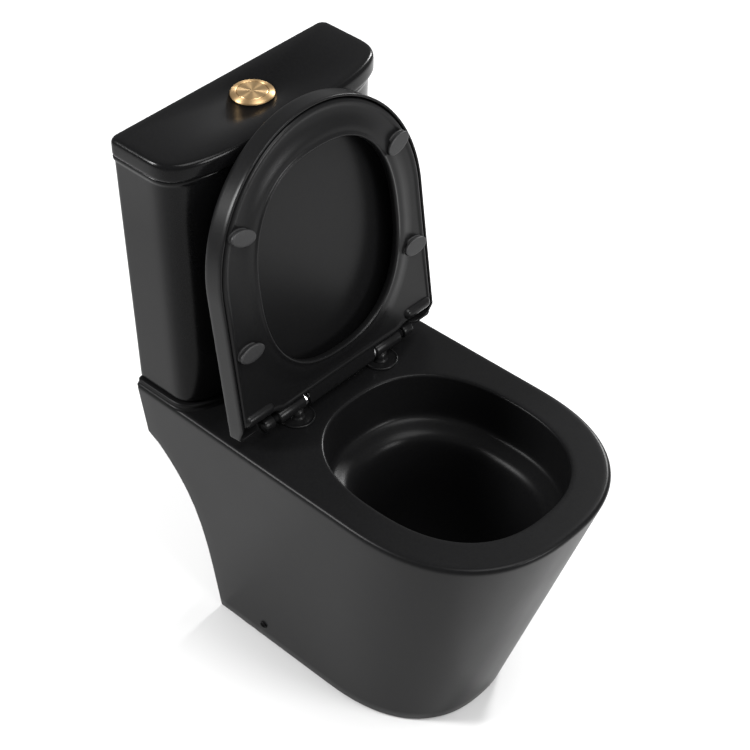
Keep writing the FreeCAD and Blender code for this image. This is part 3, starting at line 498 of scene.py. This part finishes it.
def ring_loop(from_hole, from_edge, height):
    """A loop set out from the hole, or set in from the seat's edge."""
    points = []
    for hole, edge in zip(seat_hole, seat_plan):
        way = Vector(edge) - Vector(hole)
        narrow = min(1, way.length / 0.0535)
        if from_edge is None:
            spot = Vector(hole) + way.normalized() * from_hole * narrow
        else:
            spot = Vector(edge) - way.normalized() * from_edge
        points.append(tuple(spot))
    ring_loops.append(level(points, height))


for out, rise in ((0.0250, 0.0190), (0.0220, 0.0184), (0.0180, 0.0160), (0.0120, 0.0112), (0.0050, 0.0056),
                  (0.0016, 0.0034), (0.0004, 0.0022), (0.0, 0.0006), (0.0, -0.0025), (0.0002, -0.0042),
                  (0.0008, -0.0058), (0.0018, -0.0067), (0.0030, -0.0069), (0.0042, -0.0065),
                  (0.0054, -0.0056), (0.0070, -0.0050), (0.0095, -0.0049), (0.0130, -0.0047),
                  (0.0170, -0.0041), (0.0210, -0.0030), (0.0260, -0.0018), (0.0310, -0.0008),
                  (0.0360, -0.0002)):
    ring_loop(out, None, rim_z + rise)
for inset, rise in ((0.0120, 0.0000), (0.0095, 0.0002), (0.0082, 0.0001), (0.0070, -0.0004),
                    (0.0056, -0.0009), (0.0040, -0.0010), (0.0024, -0.0007),
                    (0.0010, 0.0002), (0.0002, 0.0014), (0.0, 0.0030), (0.0, 0.0150), (0.0010, 0.0176),
                    (0.0030, 0.0188), (0.0050, 0.0190)):
    ring_loop(0, inset, rim_z + rise)
skin(seat_mesh, ring_loops + ring_loops[:1])


def join_in(bm, fresh):
    """Adds one mesh to another and frees it."""
    part = bpy.data.meshes.new("part")
    fresh.to_mesh(part)
    fresh.free()
    bm.from_mesh(part)
    bpy.data.meshes.remove(part)


def lathe_across(bm, profile, start, steps=48):
    """Spins a profile of (radius, distance) about the hinge's line, from x = start."""
    fresh = bmesh.new()
    lathe(fresh, profile, (0, 0, 0), steps=steps)
    bmesh.ops.transform(fresh, matrix=Matrix.Translation((start, hinge.y, hinge.z)) @
                        Matrix.Rotation(math.pi / 2, 4, "Y"), verts=fresh.verts)
    join_in(bm, fresh)


def soft_block(bm, low, high, ease, lean=None):
    """A block between two corners with eased edges, leaned over if asked."""
    fresh = bmesh.new()
    bmesh.ops.create_cube(fresh, size=1)
    middle = (Vector(low) + Vector(high)) / 2
    spread = Vector(high) - Vector(low)
    bmesh.ops.transform(fresh, matrix=Matrix.Translation(middle) @ Matrix.Diagonal((*spread, 1)),
                        verts=fresh.verts)
    bmesh.ops.bevel(fresh, geom=fresh.edges[:], offset=ease, segments=3, affect="EDGES", profile=0.5,
                    material=-1)
    bmesh.ops.transform(fresh, matrix=lean or Matrix.Identity(4), verts=fresh.verts)
    join_in(bm, fresh)


roll, roll_half = 0.0113, 0.060
lathe_across(seat_mesh, [(0.0, 0.0), (roll - 0.002, 0.0), (roll - 0.0006, 0.0006), (roll, 0.002),
                         (roll, 2 * roll_half - 0.002), (roll - 0.0006, 2 * roll_half - 0.0006),
                         (roll - 0.002, 2 * roll_half), (0.0, 2 * roll_half)], -roll_half)
bridge_fall = 0.055
slope = Matrix.Identity(4)
slope[2][1], slope[2][3] = -bridge_fall, bridge_fall * hinge.y
soft_block(seat_mesh, (-roll_half, 0.070, hinge.z - roll), (roll_half, hinge.y + 0.001, seat_top - 0.003),
           0.0003, slope)
bead_radius, bead_length = 0.0088, 0.050
for side in (-1, 1):
    bead = [(0.0, 0.0)]
    for step in range(1, 7):
        turn = math.pi / 2 * step / 6
        bead.append((bead_radius * math.sin(turn), bead_radius * (1 - math.cos(turn))))
    bead += [(radius, bead_length - along) for radius, along in reversed(bead)]
    ridge = bmesh.new()
    lathe(ridge, bead, (0, 0, 0), steps=32)
    bead_start = (side * 0.1455 - bead_length / 2, 0.0716, rim_z + 0.0034)
    bmesh.ops.transform(ridge, matrix=Matrix.Translation(bead_start) @
                        Matrix.Rotation(math.pi / 2, 4, "Y"), verts=ridge.verts)
    join_in(seat_mesh, ridge)
bmesh.ops.transform(seat_mesh, matrix=swing_open, verts=seat_mesh.verts)
finished("seat_moulding", seat_mesh, seat_plastic, "seat", ["seat_ring"])

# Four oval rubber feet stand the seat clear of the glazed deck. Each is moulded with a flat base, a
# narrow neck and a thick pad, and is pressed into the seat's underside.
foot_rubber = glaze("black_rubber", (0.016, 0.016, 0.0165), 0.50, 0.05, 0.30)
foot_half_length, foot_half_width = 0.0195, 0.0112
feet_mesh = bmesh.new()
for foot_x, foot_y, turn in ((0.147, -0.027, 0), (0.134, -0.186, 20), (-0.147, -0.027, 0),
                             (-0.134, -0.186, -20)):
    foot = bmesh.new()
    foot_loops = []
    for inset, drop in ((0.0, -0.0040), (0.0, 0.0016), (0.0003, 0.0020), (0.0078, 0.0021),
                        (0.0082, 0.0026), (0.0080, 0.0046), (0.0003, 0.0050), (0.0, 0.0054), (0.0, 0.0078),
                        (0.0003, 0.0083), (0.0010, 0.0086), (0.0030, 0.0087)):
        edge = []
        for step in range(48):
            around_turn = 2 * math.pi * step / 48
            edge.append((math.cos(around_turn) * (foot_half_length - inset),
                         math.sin(around_turn) * (foot_half_width - inset)))
        foot_loops.append(level(edge, rim_z - drop))
    foot_rings = skin(foot, foot_loops)
    cap(foot, foot_rings[0])
    cap(foot, foot_rings[-1])
    bmesh.ops.transform(foot, matrix=Matrix.Translation((foot_x, foot_y, 0)) @
                        Matrix.Rotation(-math.radians(turn), 4, "Z"), verts=foot.verts)
    join_in(feet_mesh, foot)
bmesh.ops.transform(feet_mesh, matrix=swing_open, verts=feet_mesh.verts)
finished("seat_feet", feet_mesh, foot_rubber, "seat", ["seat_buffers"])

# The seat's lid is a thin moulded shell with a deep skirt that hides the seat when it is shut. The
# skirt is cut away at the back where the hinge is.
lid_back, lid_front, lid_half = 0.101, -0.299, 0.176
cut_from, cut_half, cut_rise, corner_rise = 0.0925, 0.138, 0.0235, 0.008
lid_top = rim_z + 0.0285
lid_ceiling = lid_top - 0.0035
lid_mesh = bmesh.new()


def lid_loop(inset, height):
    """A loop of the lid, with the skirt's lower edge raised along the back."""
    half = lid_half - inset
    plan = d_plan(lid_back - inset, side_bend, lid_front + inset, half, half, 2, 0.005)
    loop = level(plan, height)
    if height < lid_ceiling:
        share = (lid_ceiling - height) / (lid_ceiling - rim_z)
        for spot in loop:
            if spot.y > cut_from:
                raised = cut_rise if abs(spot.x) < cut_half else corner_rise
                spot.z += raised * share
    return loop


lid_loops = []
for inset, height in ((0.0120, lid_ceiling), (0.0060, lid_ceiling), (0.0044, lid_ceiling - 0.0010),
                      (0.0036, lid_ceiling - 0.0030), (0.0034, rim_z + 0.0010), (0.0030, rim_z + 0.0003),
                      (0.0022, rim_z), (0.0010, rim_z), (0.0003, rim_z + 0.0003), (0.0, rim_z + 0.0010),
                      (0.0, rim_z + 0.0060), (0.0, lid_top - 0.0070), (0.0, lid_top - 0.0034),
                      (0.0004, lid_top - 0.0018), (0.0014, lid_top - 0.0006), (0.0030, lid_top),
                      (0.0090, lid_top)):
    lid_loops.append(lid_loop(inset, height))
lid_rings = skin(lid_mesh, lid_loops)
cap(lid_mesh, lid_rings[0])
cap(lid_mesh, lid_rings[-1])
bmesh.ops.transform(lid_mesh, matrix=swing_open, verts=lid_mesh.verts)
finished("seat_lid_shell", lid_mesh, seat_plastic, "lid", ["seat_lid"])

# Each side of the lid turns on a short round lug. It is moulded with the lid: a web joins it to the
# lid's skin.
lug_inner, lug_width = 0.120, 0.016
lug_mesh = bmesh.new()
for side in (-1, 1):
    start = lug_inner if side > 0 else -lug_inner - lug_width
    lathe_across(lug_mesh, [(0.0, 0.0), (0.0078, 0.0), (0.0088, 0.0004), (0.0092, 0.0014),
                            (0.0092, lug_width - 0.0014), (0.0088, lug_width - 0.0004),
                            (0.0078, lug_width), (0.0, lug_width)], start)
    web_start, web_end = start + 0.0006, start + lug_width - 0.0006
    soft_block(lug_mesh, (web_start, hinge.y - 0.0088, hinge.z + 0.001),
               (web_end, hinge.y + 0.0005, lid_ceiling + 0.0005), 0.0008)
    soft_block(lug_mesh, (web_start, hinge.y - 0.034, lid_ceiling - 0.003),
               (web_end, hinge.y - 0.002, lid_ceiling + 0.0005), 0.0008)
bmesh.ops.transform(lug_mesh, matrix=swing_open, verts=lug_mesh.verts)
finished("lid_hinge_lugs", lug_mesh, seat_plastic, "lid", ["lid_lugs"])

# On the deck, each hinge has a round plastic cover with a raised rim, a post and a fat barrel that
# holds the soft-close damper. A slimmer sleeve covers the outer part of the pin.
cap_low, cap_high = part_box("hinge_caps")
cover_radius = 0.0235
barrel_inner, barrel_length = 0.066, 0.053
fixing_x = cap_high[0] - cover_radius
fixing_y = (cap_low[1] + cap_high[1]) / 2
caps_mesh = bmesh.new()
barrels_mesh = bmesh.new()
for side in (-1, 1):
    spot = (side * fixing_x, fixing_y, deck_z)
    cover = bmesh.new()
    lathe(cover, [(0.0, 0.0001), (0.0232, 0.0001), (cover_radius, 0.0005), (cover_radius, 0.0020),
                  (0.0232, 0.0026), (0.0226, 0.0030), (0.0218, 0.0030), (0.0212, 0.0026),
                  (0.0208, 0.0021), (0.0190, 0.0020), (0.0, 0.0020)], spot)
    join_in(caps_mesh, cover)
    post = bmesh.new()
    lathe(post, [(0.0, 0.0019), (0.0110, 0.0019), (0.0096, 0.0028), (0.0086, 0.0042), (0.0080, 0.0065),
                 (0.0080, 0.0150), (0.0, 0.0150)], spot, steps=48)
    join_in(barrels_mesh, post)
    barrel = [(0.0, 0.0), (0.0085, 0.0), (0.0098, 0.0006), (0.0105, 0.0020), (0.0105, 0.0440),
              (0.0098, 0.0454), (0.0085, 0.0460), (0.0062, 0.0462), (0.0060, barrel_length),
              (0.0, barrel_length)]
    if side < 0:
        barrel = [(radius, barrel_length - along) for radius, along in reversed(barrel)]
    lathe_across(barrels_mesh, barrel, barrel_inner if side > 0 else -barrel_inner - barrel_length)
finished("hinge_deck_covers", caps_mesh, seat_plastic, "pan_and_cistern", ["hinge_caps"])
finished("hinge_damper_barrels", barrels_mesh, seat_plastic, "pan_and_cistern", ["hinge_barrels"])

# Low on each side a shallow round cover closes the hole over the floor fixing's screw. A thin rim stands
# round its dish, which is painted near-black as the shade inside the hole.
caps_low, caps_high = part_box("side_caps")
cover_y, cover_z = (caps_low[1] + caps_high[1]) / 2, (caps_low[2] + caps_high[2]) / 2
wall_lean = math.atan2(deck_half - foot_half, deck_z)
side_mesh, dish_mesh = bmesh.new(), bmesh.new()
for side in (-1, 1):
    wall_at = foot_half + (deck_half - foot_half) * cover_z / deck_z
    turn = Matrix.Rotation(side * (math.pi / 2 + wall_lean), 4, "Y")
    for target, outline in (
            (side_mesh, [(0.0043, 0.0001), (0.0045, 0.0006), (0.0050, 0.0008), (0.0055, 0.0006),
                         (0.0058, 0.0001), (0.0058, -0.0030), (0.0043, -0.0030), (0.0043, 0.0001)]),
            (dish_mesh, [(0.0, 0.0001), (0.0030, 0.0002), (0.0044, 0.0004), (0.0044, -0.0040),
                         (0.0, -0.0040)])):
        ring = bmesh.new()
        lathe(ring, outline, (side * wall_at, cover_y, cover_z), turn, steps=48)
        join_in(target, ring)
finished("side_cover_rims", side_mesh, satin_glaze, "pan_and_cistern", ["side_caps"])
# The dishes take a near-black matt finish with almost no sheen: painted shade for the hollow of the hole,
# which the pan's mesh does not have.
shadow_black = glaze("painted_hole_shade", (0.0015, 0.0015, 0.0015), 0.80, 0.05, 0.02)
finished("side_cover_dishes", dish_mesh, shadow_black, "pan_and_cistern", [])

# Fittings that stay as designed: pins and studs of plated steel, brass bolts, rubber washers and the
# moulded parts of the two valves inside the cistern.


def fitting(name, colour, roughness, metal, grain, depth):
    """A plain fitting's finish: a mottled tone and a fine grain in the surface."""
    material = bpy.data.materials.new(name)
    material.use_nodes = True
    nodes, links = material.node_tree.nodes, material.node_tree.links
    shader = nodes["Principled BSDF"]
    shader.inputs["Metallic"].default_value = metal
    place = nodes.new("ShaderNodeTexCoord")
    mottle = nodes.new("ShaderNodeTexNoise")
    mottle.inputs["Scale"].default_value = grain
    mottle.inputs["Detail"].default_value = 4
    links.new(place.outputs["Object"], mottle.inputs["Vector"])
    tint = nodes.new("ShaderNodeValToRGB")
    tint.color_ramp.elements[0].color = [c * 0.85 for c in colour] + [1]
    tint.color_ramp.elements[1].color = [min(1, c * 1.1) for c in colour] + [1]
    links.new(mottle.outputs["Fac"], tint.inputs["Fac"])
    links.new(tint.outputs["Color"], shader.inputs["Base Color"])
    spread = nodes.new("ShaderNodeMapRange")
    spread.inputs["To Min"].default_value = max(0.03, roughness - 0.06)
    spread.inputs["To Max"].default_value = roughness + 0.06
    links.new(mottle.outputs["Fac"], spread.inputs["Value"])
    links.new(spread.outputs["Result"], shader.inputs["Roughness"])
    bump = nodes.new("ShaderNodeBump")
    bump.inputs["Strength"].default_value = depth
    bump.inputs["Distance"].default_value = 0.0002
    links.new(mottle.outputs["Fac"], bump.inputs["Height"])
    links.new(bump.outputs["Normal"], shader.inputs["Normal"])
    return material


finishes = {
    "chrome": fitting("plated_pin_steel", (0.90, 0.90, 0.91), 0.20, 1, 300, 0.05),
    "steel": fitting("zinc_plated_steel", (0.60, 0.61, 0.62), 0.34, 1, 500, 0.2),
    "brass": fitting("plain_brass", (0.70, 0.50, 0.25), 0.30, 1, 400, 0.2),
    "rubber": fitting("washer_rubber", (0.022, 0.022, 0.022), 0.65, 0, 260, 0.3),
    "valve_plastic": fitting("white_valve_plastic", (0.78, 0.78, 0.76), 0.38, 0, 180, 0.1),
    "dark_plastic": fitting("dark_nut_plastic", (0.035, 0.035, 0.037), 0.45, 0, 220, 0.2),
    "buffer_rubber": foot_rubber,
}
# A plated collar on each hinge pin shows between the seat's roll and the barrel. It is turned steel,
# a little smaller than the barrel.
collar_mesh = bmesh.new()
for start in (-0.0657, 0.0603):
    lathe_across(collar_mesh, [(0.0, 0.0), (0.0080, 0.0), (0.0088, 0.0010), (0.0088, 0.0044),
                               (0.0080, 0.0054), (0.0, 0.0054)], start)
finished("pin_collars", collar_mesh, finishes["chrome"], "pan_and_cistern", [])

# Every fitting that no new piece stands in for keeps its own mesh, and takes the finish that its
# material asks for.
remade = {
    "pan", "cistern_tank", "cistern_lid", "button_flange", "full_flush_button", "half_flush_button",
    "seat_ring", "seat_buffers", "seat_lid", "lid_lugs", "hinge_caps", "hinge_barrels", "side_caps"}
for part in frame["record"]["subparts"]:
    if part["node"] not in remade:
        piece = frame["nodes"][part["node"]]
        piece.data.materials.clear()
        piece.data.materials.append(finishes[part["material_slot"]])

# The room: a pale floor, a wide soft light overhead, and upright soft lights in front, to the right
# and behind to the left.
floor_mesh = bmesh.new()
bmesh.ops.create_grid(floor_mesh, x_segments=1, y_segments=1, size=14)
floor_data = bpy.data.meshes.new("floor")
floor_mesh.to_mesh(floor_data)
floor_mesh.free()
floor = bpy.data.objects.new("floor", floor_data)
floor.location = (0, 0, -0.0005)
bpy.context.scene.collection.objects.link(floor)
pale = bpy.data.materials.new("pale_floor")
pale.use_nodes = True
pale_shader = pale.node_tree.nodes["Principled BSDF"]
pale_shader.inputs["Base Color"].default_value = (0.62, 0.62, 0.62, 1)
pale_shader.inputs["Roughness"].default_value = 0.9
pale_shader.inputs["Specular IOR Level"].default_value = 0.1
floor_data.materials.append(pale)

world = bpy.data.worlds.new("room")
bpy.context.scene.world = world
world.use_nodes = True
world.node_tree.nodes["Background"].inputs["Color"].default_value = (1, 1, 1, 1)
world.node_tree.nodes["Background"].inputs["Strength"].default_value = 0.48
for name, place, aim, width, height, power in (
        ("key_light", (0.1, -1.5, 3.9), (0, -0.1, 0.2), 2.2, 2.2, 135),
        ("front_light", (0.5, -2.4, 1.35), (0, 0, 0.6), 0.9, 0.9, 52),
        ("right_light", (2.35, 0.45, 1.7), (0, -0.1, 0.4), 0.3, 1.0, 72),
        ("left_back_light", (-2.1, 1.5, 2.0), (0, 0, 0.45), 0.45, 1.2, 115)):
    lamp_data = bpy.data.lights.new(name, "AREA")
    lamp_data.shape = "RECTANGLE"
    lamp_data.size, lamp_data.size_y = width, height
    lamp_data.energy = power
    lamp = bpy.data.objects.new(name, lamp_data)
    lamp.location = place
    lamp.rotation_euler = (Vector(aim) - Vector(place)).to_track_quat("-Z", "Y").to_euler()
    bpy.context.scene.collection.objects.link(lamp)
bpy.context.scene.view_settings.view_transform = "Standard"

# The camera looks down at the toilet from its front left, through a long lens, with the whole of it
# in the frame.
azimuth, elevation = math.radians(-46.8), math.radians(40.9)
camera_aim, camera_distance = Vector((-0.0166, 0.0175, 0.4828)), 2.6765
back_way = Vector((math.sin(azimuth) * math.cos(elevation), -math.cos(azimuth) * math.cos(elevation),
                   math.sin(elevation)))
lens_data = bpy.data.cameras.new("camera")
lens_data.sensor_width = 36
lens_data.lens = 102.77
camera = bpy.data.objects.new("camera", lens_data)
camera.location = camera_aim + back_way * camera_distance
camera.rotation_mode = "QUATERNION"
camera.rotation_quaternion = back_way.to_track_quat("Z", "Y")
bpy.context.scene.collection.objects.link(camera)
bpy.context.scene.camera = camera
